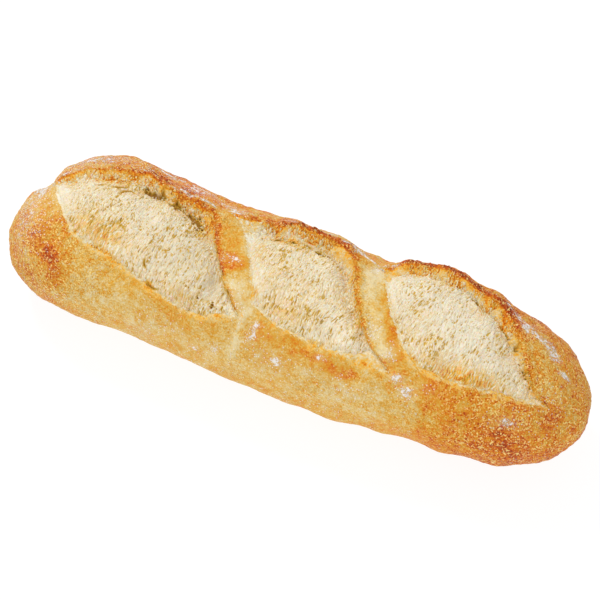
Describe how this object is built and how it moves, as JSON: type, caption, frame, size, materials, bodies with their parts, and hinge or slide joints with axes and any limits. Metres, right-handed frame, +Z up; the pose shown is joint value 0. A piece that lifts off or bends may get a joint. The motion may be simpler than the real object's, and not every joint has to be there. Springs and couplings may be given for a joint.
{
  "type": "demi baguette",
  "caption": "Short crusty baguette with slanting scores torn open across the crown, showing pale crumb between browned ridges; it lies on a flat baked underside.",
  "frame": {"origin": "centre of the bounding box's bottom, on the surface the loaf lies on", "axes": "+X along the loaf towards the slimmer end, +Y across it towards the ridges' side, +Z up; the scores open towards -Y"},
  "size_m": [0.2404, 0.071, 0.0557],
  "materials": {
    "crust": "matte baked crust and open crumb"
  },
  "bodies": {
    "root": {"demi_baguette": "crust"}
  },
  "joints": []
}
